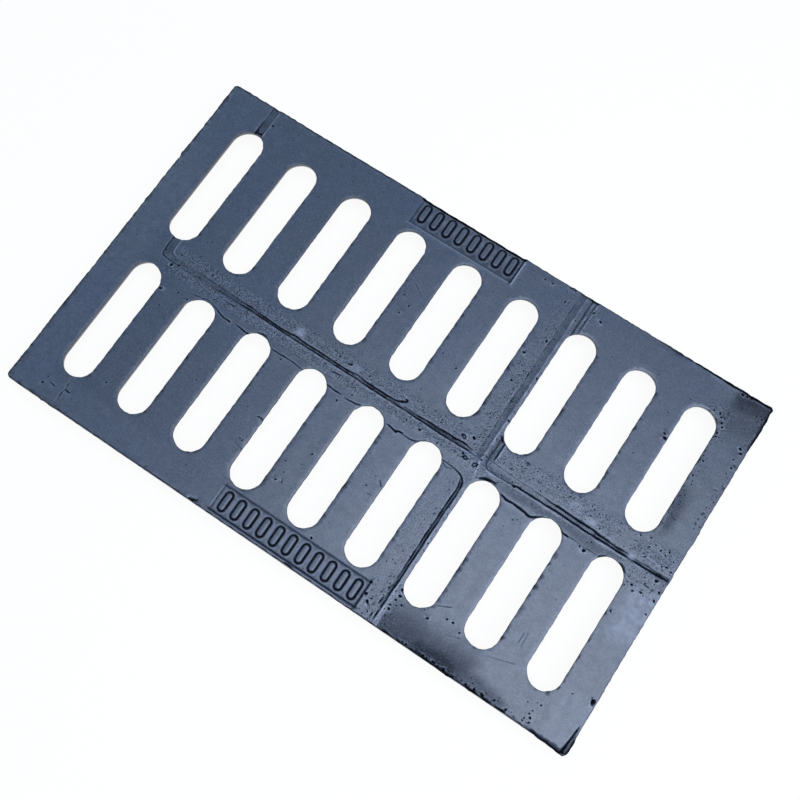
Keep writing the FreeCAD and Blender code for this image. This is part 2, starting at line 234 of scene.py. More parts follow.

# Blowholes with metal left in the middle, and plain ones: x, y, radius. Their depth is a share of it.
# They get painted shade inside and a painted highlight on the rim and on the metal in the middle.
HOLE_DEPTH = 0.9
HOLE_RIM = 0.25
RING_HOLES = ((77.5, -10, 1.6), (86.5, -10.5, 1.7), (68, 3.5, 1.5))
BLOWHOLES = RING_HOLES + (
    (74.6, -8, 0.9), (75, 6.5, 1.1), (88.7, -5, 0.8), (119.5, -8.5, 1), (119, -124.3, 1),
    (37.5, -10.8, 0.8), (25, -10, 0.7), (54, -12, 0.7), (76.5, -138.5, 1.1), (72.5, -134, 1),
    (71, -125.5, 0.9), (94, -122, 0.9), (93, -126, 0.7), (98.5, -127, 0.8), (93.3, -117.6, 1.2),
    (91.3, -131, 0.7), (92.2, -134, 0.9), (78, -134.8, 0.6), (214, 124.5, 0.7), (219, 125, 0.8),
    (221.2, 122.5, 0.7), (223.5, 119, 0.8), (225.5, 116, 0.8), (224.5, 110.5, 0.7), (225, 107.5, 0.6),
    (226.5, 86, 0.6), (225.5, 72, 0.7), (245, 109, 0.9), (247, 106, 0.8), (246.5, 92.5, 0.7),
    (244.5, 99, 0.6), (247.5, 138, 0.6), (194.3, 85.3, 1.2), (191.8, 88.3, 0.9), (226, 147, 1),
    (229.5, 147.5, 0.7), (233, 147.8, 0.7), (217, -141.8, 0.8), (214.8, -139.8, 0.6),
    (213.2, -144.3, 0.6), (213, -146.3, 0.6), (218, -145.2, 0.7), (215.8, -136.8, 0.5),
    (209.8, -133.5, 0.5), (199.8, -146.8, 0.8), (219, -130.3, 0.6), (233, -111.5, 0.5),
    (242.5, -10.2, 1.1), (223.5, 14.8, 0.55), (225.7, 8.3, 0.55), (229, 12, 0.5), (234, 10.5, 0.7),
    (240, 12.8, 0.55), (238.5, 9.3, 0.5), (243.4, 2, 0.75), (240.5, 1, 0.55), (248, 0.8, 0.5),
    (216, 12.4, 0.5), (226.5, 0.3, 0.5), (248.3, -16.5, 0.9), (228.7, -22.5, 0.8), (237, -23.7, 0.8),
    (248, -23.6, 0.7), (248, -35, 0.6), (187, -20.7, 1.1), (183, -19.5, 0.8), (231.5, -26, 0.7),
    (236.5, -16.5, 0.6), (225.5, -46.8, 0.7), (106.5, 137.7, 0.9), (75, 137, 0.7), (98.5, 141.3, 0.8),
    (89.5, 72, 0.7), (89.5, 32, 0.7), (70.5, 84.5, 0.9), (80, 101.5, 0.8), (74, 60, 0.7),
    (16.5, -123, 0.7), (-202.5, 135.8, 0.8), (-223, -138.7, 0.85), (-182, -112, 0.65), (-194, -27.5, 1),
    (-210, 1.2, 0.7), (-198.5, -7, 1.1), (-193.5, -4.5, 0.8), (-196.5, 4, 0.6), (-166, 3.5, 0.7),
    (-156.5, -6.5, 0.6), (-180, -22.8, 0.55), (-171, -23.4, 0.5), (-20, -16.5, 0.6), (-17, 3.5, 0.7),
    (-27.5, -26.3, 0.7), (-82, -23.3, 0.6), (-45, 4, 0.7), (-34.5, 3, 0.8), (-36, 2.5, 0.7),
    (248.3, -108.4, 1.7), (247.2, -107.4, 0.9), (131.2, -117.2, 0.6), (136.3, -116.9, 0.75),
    (143.8, -120.3, 0.6), (113.5, -148.4, 0.8), (116.4, -148.2, 0.9), (122, -148.6, 0.6), (131, -148, 1),
    (134, -148.5, 0.8), (139.5, -147.8, 1.1), (143.5, -148.2, 0.8), (148.4, -148, 1),
    (156.6, -148.5, 0.7), (167, -147.9, 0.9), (169.4, -148.4, 0.7), (173.8, -147.5, 1.1),
    (180.5, -147.8, 1.2), (183.4, -148.5, 0.7), (189.5, -145.8, 0.8), (191.6, -148.4, 0.6),
    (52.5, 144, 0.65), (59.2, 144.4, 0.65), (-209.8, 126, 0.7), (-206.6, 124.4, 0.7), (-31, -102, 0.85),
    (-29, -94, 0.5), (-25.8, -101, 0.5), (-19, -70.8, 0.6), (-32.8, -86, 0.5), (-71.3, -91, 0.5),
    (-69, -91.2, 0.5), (34, 45, 0.6), (19, 49.5, 0.5), (-27.5, 58.5, 0.7), (-24, 67, 0.6), (-32, 73, 0.5),
    (28, -68, 0.5),
)

# Belts where gas and loose sand marked the skin: box, how thick its pits lie and how sandy it is
BELT_SOFT = 6
ROUGH_BELTS = (
    ((-200, 98, -13, 9), 0.45, 0.6),
    ((-130, 98, -13, -4.5), 0.45, 0.75),
    ((98, 205, -13, -3), 0.3, 0.3),
    ((98, 205, 0, 14), 0.95, 0.5),
    ((205, 250, -13, -3), 0.4, 0.3),
    ((214, 247, -2, 8), 0.9, 0.9),
    ((-60, 100, -13, -5), 0.6, 1),
    ((70, 101, -150, 150), 0.25, 0.2),
    ((77, 84, 8, 72), 0.75, 0.6),
    ((78, 93, -150, -110), 0.85, 0.5),
    ((221, 229, 28, 128), 0.85, 0),
    ((244, 252, 40, 142), 0.9, 0),
    ((211, 229, 106, 130), 1, 0.5),
    ((222, 250, -27, 15), 0.6, 0.4),
    ((92, 205, -150, -145), 1, 0.2),
    ((198, 222, -150, -130), 0.2, 0.1),
)

# Soft areas: low and high x and y, the soft widths inside those four sides, and strength.
# The dark areas are painted dark reflections in the glossy paint, with wandering borders; the pale areas are
# painted highlights.
REFLECTION_WANDER = 4
REFLECTION_LENGTH = 20
# Painted dark reflections
DARK_REFLECTIONS = (
    ((216, 268, 98, 168), (9, 1, 26, 1), 0.44),
    ((217, 268, 117, 168), (9, 1, 30, 1), 0.88),
    ((222, 238, 16, 70), (5, 10, 18, 18), 0.5),
    ((188, 198, 82, 94), (4, 2, 4, 4), 0.35),
    ((91, 174, -168, -112), (3, 16, 1, 34), 0.62),
    ((110, 166, -168, -132), (16, 14, 1, 13), 0.92),
    ((158, 208, -168, -136), (8, 16, 1, 9), 0.42),
    ((-34, -18, 52, 76), (7, 7, 8, 8), 0.16),
    ((102, 222, -19, -8), (25, 15, 5, 2), 0.3),
)
# Painted highlights: pale patches on the deck
PAINTED_HIGHLIGHTS = (
    ((-262, -216, -165, 110), (1, 14, 1, 60), 0.07),
    ((-262, -90, -165, -122), (1, 40, 1, 8), 0.05),
    ((225, 256, -70, -16), (10, 1, 16, 6), 0.26),
    ((222, 256, -152, -98), (10, 1, 4, 16), 0.09),
    ((-88, -75, -2, 10), (6, 6, 4, 7), 0.5),
    ((-36, -25, -2, 7), (5, 5, 3, 5), 0.5),
    ((158, 174, 0, 10), (7, 8, 4, 5), 0.4),
    ((174, 188, -3, 5), (6, 5, 3, 5), 0.45),
    ((213, 223, -8, -2), (4, 4, 2, 3), 0.6),
)

# Points on the deck's lines: their room from the lips and the gap between them. Grids of points, in the fine
# areas and elsewhere: spacing, room from the lips and gap from the lines.
LINE_ROOM = 0.15
LINE_GAP = 0.2
GRIDS = ((True, 1.1, 0.3, 0.55), (False, 2.6, 0.8, 0.8))
GRID_JITTER = 0.18
FINE_AREAS = ((-216, 250, -25, 11), (72, 101, -150, 150), (220, 250, -150, 150), (90, 222, -150, -141),
              FAR_PANEL, NEAR_PANEL)

# What the paint and the cast skin read at each point of the mesh. The first is painted shade, the second
# painted highlight and the fifth painted dark reflection.
MARKS = ("painted_shade", "painted_highlight", "porous", "sandy", "painted_reflection", "deck")

# Sizes of the cast skin
SKIN_SIZES = {"Ripple height": 0.3 * MM, "Ripple length": 14 * MM, "Sand height": 0.4 * MM,
              "Sand grain": 2.4 * MM, "Pits per area": 0.02 / MM ** 2, "Pit radius": 0.8 * MM,
              "Pit depth": 0.5 * MM}

# Kinds of node that come often
MATH = "ShaderNodeMath"
RANGE = "ShaderNodeMapRange"
NOISE = "ShaderNodeTexNoise"

# Layers of the random field, one for each thing that wanders by itself
LINE_X, LINE_X_FINE, LINE_Y, LINE_Y_FINE, LINE_DEPTH = range(1, 6)
LIP, LIP_FINE, EDGE_LONG, DASHES, LIP_BLACK = range(6, 11)
STRIP_SHADE, HIGHLIGHT_PATCHES, HOLE_LEAN, HOLE_SHAPE, PANEL_SHADE, REFLECTION_X, REFLECTION_Y = range(12, 19)


def smooth(value):
    """Eased step from 0 to 1."""
    value = np.clip(value, 0, 1)
    return value * value * (3 - 2 * value)


def insets(x, y, box):
    """How far points lie in from the left, right, near and far side of a box."""
    x0, x1, y0, y1 = box
    return x - x0, x1 - x, y - y0, y1 - y


def within(x, y, box, soft):
    """1 inside a box, 0 outside it, eased over the soft width at its sides."""
    return smooth(np.min(insets(x, y, box), axis=0) / soft + 0.5)


def soft_area(x, y, box, softs):
    """1 in the middle of a box, eased to 0 at its four sides over a width of its own at each."""
    share = np.ones(len(x))
    for inset, soft in zip(insets(x, y, box), softs):
        share = share * smooth(inset / soft)
    return share


def wander(x, y, length, layer):
    """Smooth random value from -1 to 1 that changes over about that length."""
    return noise.noise((x / length, y / length, layer * 7.3))


def wanders(x, y, length, layer):
    """The same for rows of points."""
    return np.array([wander(px, py, length, layer) for px, py in zip(x, y)])


def traced(corner, broken, knots):
    """Even points of x, y and depth along knots, with rounded corners and an unsteady line."""
    knots = np.array(knots, float)
    path = [knots[0]]
    for before, turn, after in zip(knots, knots[1:], knots[2:]):
        arriving = before - turn
        leaving = after - turn
        start = turn + arriving * min(0.5, corner / np.hypot(*arriving[:2]))
        end = turn + leaving * min(0.5, corner / np.hypot(*leaving[:2]))
        for share in np.linspace(0, 1, 7):
            path.append(start * (1 - share) ** 2 + turn * 2 * share * (1 - share) + end * share ** 2)
    path = np.array(path + [knots[-1]])
    run = np.concatenate([[0], np.cumsum(np.hypot(*np.diff(path[:, :2], axis=0).T))])
    stations = np.linspace(0, run[-1], int(run[-1] / SEAM_STEP) + 2)
    line = np.column_stack([np.interp(stations, run, path[:, axis]) for axis in range(3)])
    for point in line:
        x, y = point[:2]
        point[0] += 0.3 * wander(x, y, 11, LINE_X) + 0.28 * wander(x, y, 4, LINE_X_FINE)
        point[1] += 0.3 * wander(x, y, 11, LINE_Y) + 0.28 * wander(x, y, 4, LINE_Y_FINE)
        steady = 1 + 0.5 * wander(x, y, 6, LINE_DEPTH)
        dashed = max(0, 0.3 + 2.4 * wander(x, y, 5, DASHES))
        point[2] *= steady * (1 - broken) + dashed * broken
    return line


def seam_half_width(depth):
    """Half the width of a seam of that depth."""
    return 0.22 + 0.42 * depth


def pairs(x, y):
    """Points as rows of x and y, of which one may be a single number."""
    return np.column_stack(np.broadcast_arrays(x, y))


def beside(line, offset):
    """A traced line moved sideways, by its own offset at each point."""
    along = np.gradient(line[:, :2], axis=0)
    along /= np.hypot(*along.T)[:, None]
    across = pairs(-along[:, 1], along[:, 0])
    return line[:, :2] + across * np.broadcast_to(offset, len(line))[:, None]


def from_line(x, y, line, reach):
    """Distance of points from a traced line, as far as its reach, and the line's third number there."""
    distance = np.full(len(x), reach)
    value = np.zeros(len(x))
    x0, y0 = line[:, :2].min(axis=0) - reach
    x1, y1 = line[:, :2].max(axis=0) + reach
    near = np.flatnonzero(np.min(insets(x, y, (x0, x1, y0, y1)), axis=0) > 0)
    for start, end in zip(line, line[1:]):
        span = end - start
        dx = x[near] - start[0]
        dy = y[near] - start[1]
        share = np.clip((dx * span[0] + dy * span[1]) / (span[0] ** 2 + span[1] ** 2), 0, 1)
        gap = np.hypot(dx - share * span[0], dy - share * span[1])
        closer = gap < distance[near]
        distance[near[closer]] = gap[closer]
        value[near[closer]] = (start[2] + share * span[2])[closer]
    return distance, value


def all_traced(table):
    """Traced lines of a table, in its order."""
    return [traced(corner, broken, knots) for corner, broken, *lines in table for knots in lines]


SEAM_LINES = all_traced(SEAMS)
RIDGE_LINES = all_traced(RIDGES)


def from_bar(x, y, bar):
    """Distance of points from the outline of a grip bar, negative inside it."""
    return np.hypot(x - bar[0], np.maximum(np.abs(y - bar[1]) - BAR_HALF_RUN, 0)) - BAR_RADIUS


def bell(gap, middle, width):
    """Smooth hump of height 1 over a distance."""
    return np.exp(-((gap - middle) / width) ** 2)


def carve(x, y):
    """Height of the deck over its level, and its painted shade, painted highlight, porosity, sand and painted
    dark reflection there.
    """
    height, painted_shade, painted_highlight, porous, sandy, painted_reflection, between = np.zeros((7, len(x)))
    # Sunk strips are darkened with painted shade
    for box, soft, depth, shade in SUNK_STRIPS:
        share = within(x, y, box, soft)
        between = np.maximum(between, share)
        height -= depth * share
        painted_shade = np.maximum(painted_shade, shade * share * (0.75 + 0.6 * wanders(x, y, 5, STRIP_SHADE)))
    # Seams: painted shade in the crease, and a painted highlight on the shoulders
    for line in SEAM_LINES:
        gap, depth = from_line(x, y, line, SEAM_REACH)
        half = seam_half_width(depth)
        shoulder = np.minimum(depth, 0.9) * bell(gap, 1.3 * half + 0.4, 0.4) * (1 - 0.8 * between)
        height += SHOULDER_HEIGHT * shoulder - 0.9 * depth * smooth(1.3 - gap / half)
        painted_shade = np.maximum(painted_shade, np.minimum(1.5 * depth, 1) * smooth(1.7 - gap / half))
        painted_highlight = np.maximum(painted_highlight, SHOULDER_HIGHLIGHT * shoulder)
    # Ridges: a painted highlight along them
    for line in RIDGE_LINES:
        gap, rise = from_line(x, y, line, 2.0)
        height += rise * smooth(1 - gap / 0.9)
        painted_highlight = np.maximum(painted_highlight, RIDGE_HIGHLIGHT * rise * smooth(1 - gap / 0.8))
    # Panels: painted shade on the floor and along the inside of the walls, and a painted highlight outside
    # them
    for box, shade, shade_blacks, pales in PANELS:
        x0, x1, y0, y1 = box
        sunk = within(x, y, box, PANEL_WALL)
        around = within(x, y, (x0 - 2, x1 + 2, y0 - 2, y1 + 2), 1)
        height -= PANEL_DEPTH * sunk
        painted_shade = np.maximum(painted_shade, shade * sunk * (1 + 0.6 * wanders(x, y, 4, PANEL_SHADE)))
        for inset, shade_black, pale in zip(insets(x, y, box), shade_blacks, pales):
            painted_shade = np.maximum(painted_shade, shade_black * around * bell(inset, 0.3, PANEL_LINE))
            painted_highlight = np.maximum(painted_highlight, pale * around * bell(inset, -1.3, 0.6))
    # Bars: painted shade round their feet, and a painted highlight round them and on their tops
    for bar in BARS:
        gap = from_bar(x, y, bar)
        raised = smooth(0.5 - gap / BAR_WALL)
        height += PANEL_DEPTH * raised
        painted_shade = np.maximum(painted_shade * (1 - 0.75 * raised), np.clip(2 - np.abs(gap - 0.4) / BAR_LINE, 0, 1))
        painted_highlight = np.maximum(painted_highlight, 0.3 * bell(gap, 2.3, 0.5) + 0.15 * bell(gap, -1.2, 0.5))
    # Blowholes: painted shade inside, and a painted highlight on the rim and the middle island
    for hole in BLOWHOLES:
        hole_x, hole_y, radius = hole
        near = np.flatnonzero(np.hypot(x - hole_x, y - hole_y) < 3 * radius)
        lean = math.pi * wander(hole_x, hole_y, 3, HOLE_LEAN)
        along = (x[near] - hole_x) * math.cos(lean) + (y[near] - hole_y) * math.sin(lean)
        across = (y[near] - hole_y) * math.cos(lean) - (x[near] - hole_x) * math.sin(lean)
        gap = np.hypot(along / 1.25, across / 0.85) / radius
        gap = gap + 0.5 * wanders(x[near], y[near], 1.3, HOLE_SHAPE)
        island = bell(gap, 0, 0.38) * (hole in RING_HOLES)
        rim = smooth(radius - 0.3)
        sunk = HOLE_DEPTH * radius * (smooth(1.15 - gap) - 0.8 * island)
        height[near] += HOLE_RIM * rim * bell(gap, 1.45, 0.3) - sunk
        painted_shade[near] = np.maximum(painted_shade[near], smooth(2.9 - 2 * gap) - island)
        painted_highlight[near] = np.maximum(painted_highlight[near], 0.5 * rim * bell(gap, 1.6, 0.25) + island)
    for box, pits, sand in ROUGH_BELTS:
        share = within(x, y, box, BELT_SOFT)
        porous = np.maximum(porous, pits * share)
        sandy = np.maximum(sandy, sand * share)
    # Painted dark reflections, with wandering borders
    reflection_x = x + REFLECTION_WANDER * wanders(x, y, REFLECTION_LENGTH, REFLECTION_X)
    reflection_y = y + REFLECTION_WANDER * wanders(x, y, REFLECTION_LENGTH, REFLECTION_Y)
    for box, softs, strength in DARK_REFLECTIONS:
        painted_reflection = np.maximum(painted_reflection, strength * soft_area(reflection_x, reflection_y, box, softs))
    # Pale painted highlights in patches
    for box, softs, strength in PAINTED_HIGHLIGHTS:
        patchy = np.clip(0.8 + 0.9 * wanders(x, y, 4, HIGHLIGHT_PATCHES), 0, 1.4)
        painted_highlight = np.maximum(painted_highlight, strength * soft_area(x, y, box, softs) * patchy)
    return height, np.clip(painted_shade, 0, 1), np.clip(painted_highlight, 0, 1), porous, sandy, painted_reflection


def run_in(slot, x):
    """How far metal has run into the far end of a slot, at that x."""
    depth, lean = slot[3:]
    return np.maximum(depth + lean * (x - slot[0]), 0)


def slot_gap(x, y):
    """Distance of points from the throat of the nearest slot, negative in the slot."""
    gap = np.full(len(x), HALF_LENGTH)
    for slot in SLOTS:
        beyond = np.maximum(y - slot[1] - SLOT_HALF_RUN + run_in(slot, x), slot[1] - SLOT_HALF_RUN - y)
        gap = np.minimum(gap, np.hypot(x - slot[0], np.maximum(beyond, 0)) - slot[2])
    return gap


def on_deck(points, room):
    """Those points that lie on the deck, with that much room inside the lips."""
    x, y = points.T
    clear_of_slots = slot_gap(x, y) > SLOT_LIP[-1][1] + SLOT_RAGGED + room
    spine_x, spine_y, way_x, way_y = around_edge(x, y)
    reach = CORNER_RADIUS - EDGE_LIP[-1][1] - EDGE_RAGGED - room + stand(way_x, way_y)
    return points[clear_of_slots & (np.hypot(x - spine_x, y - spine_y) < reach)]


def staggered(step):
    """Points of a staggered grid over the deck, each a little out of place."""
    rows = np.arange(-HALF_WIDTH, HALF_WIDTH, step * math.sqrt(0.75))
    columns = np.arange(-HALF_LENGTH, HALF_LENGTH, step)
    x, y = np.meshgrid(columns, rows)
    x = x + np.where(np.arange(len(rows)) % 2, step / 2, 0)[:, None]
    points = pairs(x.ravel(), y.ravel())
    return points + np.random.default_rng(SEED).uniform(-GRID_JITTER, GRID_JITTER, points.shape) * step


def outlines():
    """Points along seams, ridges, panel walls, bars and blowholes, where the deck changes fast."""
    rows = []
    for line in SEAM_LINES:
        half = seam_half_width(line[:, 2])
        rows += [beside(line, side * half) for side in (-2.2, -1.4, -0.5, 0.5, 1.4, 2.2)]
    for line in RIDGE_LINES:
        rows += [beside(line, side) for side in (-0.9, -0.3, 0.3, 0.9)]
    for x0, x1, y0, y1 in (FAR_PANEL, NEAR_PANEL):
        for out in (-1.1, -0.4, 0.1, 0.6, 1.3, 2.0):
            across = np.arange(x0 - out, x1 + out, SEAM_STEP)
            along = np.arange(y0 - out, y1 + out, SEAM_STEP)
            rows += [pairs(across, edge) for edge in (y0 - out, y1 + out)]
            rows += [pairs(edge, along) for edge in (x0 - out, x1 + out)]
    turn = np.linspace(0, 2 * math.pi, 22, endpoint=False)
    end = np.sign(np.sin(turn)) * BAR_HALF_RUN
    side = np.linspace(1 - BAR_HALF_RUN, BAR_HALF_RUN - 1, 8)
    for bar_x, bar_y in BARS:
        for out in (-0.9, -0.2, 0.4, 1.0, 1.7, 2.4):
            radius = BAR_RADIUS + out
            rows.append(pairs(bar_x + radius * np.cos(turn), bar_y + radius * np.sin(turn) + end))
            rows += [pairs(bar_x + flank * radius, bar_y + side) for flank in (-1, 1)]
    turn = np.linspace(0, 2 * math.pi, 10, endpoint=False)
    for hole_x, hole_y, radius in BLOWHOLES:
        rows.append(pairs([hole_x], [hole_y]))
        for share in (0.5, 1.0, 1.45, 1.9):
            out = share * radius
            rows.append(pairs(hole_x + out * np.cos(turn + share), hole_y + out * np.sin(turn + share)))
    return np.vstack(rows)


def cells(points, gap):
    """Column and row of points on a grid of that size."""
    return np.floor(points / gap).astype(int)


def far_from(points, others, gap):
    """Those points that keep a gap from all the others, judged on a grid of that size."""
    around = [(dx, dy) for dx in (-1, 0, 1) for dy in (-1, 0, 1)]
    taken = {(column + dx, row + dy) for column, row in cells(others, gap) for dx, dy in around}
    return points[[tuple(cell) not in taken for cell in cells(points, gap)]]


def thinned(points, gap):
    """Those points that are the first in their cell of a grid of that size."""
    first = np.unique(cells(points, gap), axis=0, return_index=True)[1]
    return points[np.sort(first)]


def deck_points():
    """Points of the deck: on its outlines, close together in the fine areas, and wide elsewhere."""
    lines = thinned(on_deck(outlines(), LINE_ROOM), LINE_GAP)
    rows = [lines]
    for is_fine, step, room, gap in GRIDS:
        grid = staggered(step)
        in_fine_area = np.max([within(*grid.T, area, 0.01) for area in FINE_AREAS], axis=0) > 0.5
        rows.append(far_from(on_deck(grid[in_fine_area == is_fine], room), lines, gap))
    return np.vstack(rows)


def lower_casting():
    """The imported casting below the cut, with points along its open rims."""
    mesh = bmesh.new()
    mesh.from_mesh(frame["nodes"][COVER].data)
    bmesh.ops.remove_doubles(mesh, verts=mesh.verts, dist=0.01 * MM)
    everything = mesh.verts[:] + mesh.edges[:] + mesh.faces[:]
    bmesh.ops.bisect_plane(mesh, geom=everything, dist=1e-7, plane_co=(0, 0, (DECK_Z - CUT_DEPTH) * MM),
                           plane_no=(0, 0, 1), clear_outer=True)
    by_cuts = {}
    for edge in mesh.edges:
        if edge.is_boundary:
            by_cuts.setdefault(int(edge.calc_length() / MM / RIM_STEP), []).append(edge)
    for cuts, edges in by_cuts.items():
        if cuts:
            bmesh.ops.subdivide_edges(mesh, edges=edges, cuts=cuts)
    return mesh


def open_rims(mesh):
    """Closed rows of the points along the open rims, each with the metal on its left."""
    following = {}
    for edge in mesh.edges:
        if edge.is_boundary:
            for start, end in (edge.verts, reversed(edge.verts)):
                following.setdefault(start, []).append(end)
    rims = []
    seen = set()
    for first in following:
        if first in seen:
            continue
        rim = []
        onward = [first]
        while onward:
            rim.append(onward[0])
            seen.add(onward[0])
            onward = [point for point in following[rim[-1]] if point not in seen]
        turn = sum(a.co.x * b.co.y - b.co.x * a.co.y for a, b in zip(rim, rim[1:] + rim[:1]))
        is_outer = np.ptp([point.co.x for point in rim]) > HALF_LENGTH * MM
        rims.append(rim if (turn > 0) == is_outer else rim[::-1])
    return rims


def around_spine(x, y, middle_x, middle_y, half_x, half_y):
    """For points round a box or a line: their nearest places on it, and the ways from there to the points."""
    spine_x = np.clip(x, middle_x - half_x, middle_x + half_x)
    spine_y = np.clip(y, middle_y - half_y, middle_y + half_y)
    length = np.maximum(np.hypot(x - spine_x, y - spine_y), 1e-6)
    return spine_x, spine_y, (x - spine_x) / length, (y - spine_y) / length


def around_edge(x, y):
    """The same for points round the box that the cover's corners turn about."""
    return around_spine(x, y, 0, 0, HALF_LENGTH - CORNER_RADIUS, HALF_WIDTH - CORNER_RADIUS)


def stand(way_x, way_y):
    """How far the outer lip stands out, on the side of the cover that lies that way."""
    return RIGHT_STAND * np.clip(way_x, 0, 1) + FAR_STAND * np.clip(way_y, 0, 1)


def edge_rings(x, y):
    """Rings of the outer lip: x, y, level, how black with painted shade it is, and its painted highlight."""
    spine_x, spine_y, way_x, way_y = around_edge(x, y)
    rough = 0.6 * wanders(x, y, 6, LIP) + 0.8 * wanders(x, y, 3.2, LIP_FINE)
    rough = np.clip(rough + 0.5 * wanders(x, y, 23, EDGE_LONG), -1, 1)
    rough = rough * (1 - 0.65 * within(x, y, FAR_PANEL, 4))
    # Painted shade, black along the outer lip and less on the right side
    shade_black = np.clip(0.7 + wanders(x, y, 5, LIP_BLACK), 0, 1) * (1 - 0.7 * np.clip(way_x, 0, 1))
    rings = []
    for depth, inset in EDGE_LIP:
        level = 1 - depth / CUT_DEPTH
        radius = CORNER_RADIUS - inset + EDGE_RAGGED * rough * min(1, 2 * level)
        radius = radius + level * stand(way_x, way_y)
        ring_x = spine_x + way_x * radius
        ring_y = spine_y + way_y * radius
        for out_x, out_y, reach, stand_x, stand_y in RUN_OUTS:
            share = level * smooth(1 - np.hypot(x - out_x, y - out_y) / reach)
            ring_x = ring_x + stand_x * share
            ring_y = ring_y + stand_y * share
        on_lip = smooth((1.3 - inset) / 0.7) * smooth(1.2 - depth)
        rings.append((ring_x, ring_y, level, shade_black * on_lip, 0.0))
    return rings


def slot_rings(x, y):
    """The same for a slot's lip."""
    slot = min(SLOTS, key=lambda place: math.hypot(place[0] - x.mean(), place[1] - y.mean()))
    spine_x, spine_y, way_x, way_y = around_spine(x, y, slot[0], slot[1], 0, SLOT_HALF_RUN)
    rough = np.clip(0.5 + 0.7 * wanders(x, y, 6, LIP) + 0.7 * wanders(x, y, 3.2, LIP_FINE), -1, 1)
    # Painted shade, black, on the right and near lips, and a painted highlight on the left and far lips that
    # grows to the right
    right_or_near = np.clip(0.9 * way_x - 0.4 * way_y, 0, 1)
    left_or_far = np.clip(0.6 * way_y - 0.8 * way_x, 0, 1)
    shade_black = right_or_near * np.clip(0.1 + 1.6 * wanders(x, y, 4, LIP_BLACK), 0, 1)
    lip_highlight = left_or_far * 0.25 * smooth((slot[0] + 60) / 250)
    at_far_end = smooth((y - slot[1] - SLOT_HALF_RUN + 4) / 12)
    rings = []
    for depth, out in SLOT_LIP:
        level = 1 - depth / CUT_DEPTH
        radius = slot[2] + out - SLOT_RAGGED * rough * min(1, 2 * level)
        ring_x = spine_x + way_x * radius
        ring_y = spine_y + way_y * radius - run_in(slot, x) * at_far_end * min(1, 1.6 * level)
        rings.append((ring_x, ring_y, level, shade_black, lip_highlight))
    return rings


def keeps_deck(corners, places):
    """True for a triangle on the deck: one with all corners on one rim has to lie on its metal side."""
    rims = {rim for rim, order in corners}
    if len(rims) > 1 or None in rims:
        return True
    (ax, ay), (bx, by), (cx, cy) = [place for corner, place in sorted(zip(corners, places))]
    return (bx - ax) * (cy - ay) - (by - ay) * (cx - ax) > 0


def carved_casting():
    """Mesh of the cover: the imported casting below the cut, ragged lips and the carved deck."""
    mesh = lower_casting()
    layers = [mesh.verts.layers.float.new(name) for name in MARKS]

    def add_points(x, y, level, shade_black, lip_highlight):
        height, painted_shade, painted_highlight, porous, sandy, painted_reflection = carve(x, y)
        z = DECK_Z - CUT_DEPTH * (1 - level) + height * level
        values = (np.maximum(painted_shade * level, shade_black), np.maximum(painted_highlight * level, lip_highlight), porous * level,
                  sandy * level, painted_reflection, np.full(len(x), level))
        added = []
        for index in range(len(x)):
            point = mesh.verts.new((x[index] * MM, y[index] * MM, z[index] * MM))
            for layer, value in zip(layers, values):
                point[layer] = value[index]
            added.append(point)
        return added

    places, owners, points, edges = [], [], [], []
    for number, rim in enumerate(open_rims(mesh)):
        x = np.array([point.co.x for point in rim]) / MM
        y = np.array([point.co.y for point in rim]) / MM
        below = rim
        for ring in (edge_rings(x, y) if np.ptp(x) > HALF_LENGTH else slot_rings(x, y)):
            above = add_points(*ring)
            for index in range(len(rim)):
                after = (index + 1) % len(rim)
                mesh.faces.new((below[index], below[after], above[after], above[index]))
            below = above
        first = len(points)
        points += below
        places += list(zip(*ring[:2]))
        owners += [(number, order) for order in range(len(rim))]
        edges += [(first + order, first + (order + 1) % len(rim)) for order in range(len(rim))]
    inner = deck_points()
    points += add_points(*inner.T, 1.0, 0.0, 0.0)
    places += [tuple(place) for place in inner]
    owners += [(None, 0)] * len(inner)
    filled = delaunay_2d_cdt([Vector(place) for place in places], edges, [], 0, 1e-5)
    sources = [origin[0] for origin in filled[3]]
    for face in filled[2]:
        corners = [sources[index] for index in face]
        if keeps_deck([owners[index] for index in corners], [places[index] for index in corners]):
            mesh.faces.new([points[index] for index in corners])
    bmesh.ops.triangulate(mesh, faces=[face for face in mesh.faces if len(face.verts) > 4])
    bmesh.ops.recalc_face_normals(mesh, faces=mesh.faces)
    data = bpy.data.meshes.new("cover_casting")
    mesh.to_mesh(data)
    mesh.free()
    return data


def put(tree, kind, inputs=None, out=0, **settings):
    """Adds a node with its settings, links or sets the named inputs, and gives one output."""
    node = tree.nodes.new(kind)
    for name, value in settings.items():
        setattr(node, name, value)
    for key, value in (inputs or {}).items():
        if isinstance(value, bpy.types.NodeSocket):
            tree.links.new(value, node.inputs[key])
        else:
            node.inputs[key].default_value = value
    return node.outputs[out] if node.outputs else None


def linear(code):
    """Linear colour of an sRGB hex value."""
    parts = [int(code[index:index + 2], 16) / 255 for index in (1, 3, 5)]
    return [part / 12.92 if part <= 0.04045 else ((part + 0.055) / 1.055) ** 2.4 for part in parts] + [1.0]


def bare_tree(owner):
    """Emptied node tree of a material or world."""
    owner.use_nodes = True
    owner.node_tree.nodes.clear()
    return owner.node_tree


def placed(name, data):
    """New object in the scene."""
    thing = bpy.data.objects.new(name, data)
    bpy.context.scene.collection.objects.link(thing)
    return thing


def per_mm(size):
    """Scale of a pattern that repeats at that size."""
    return 1 / (size * MM)


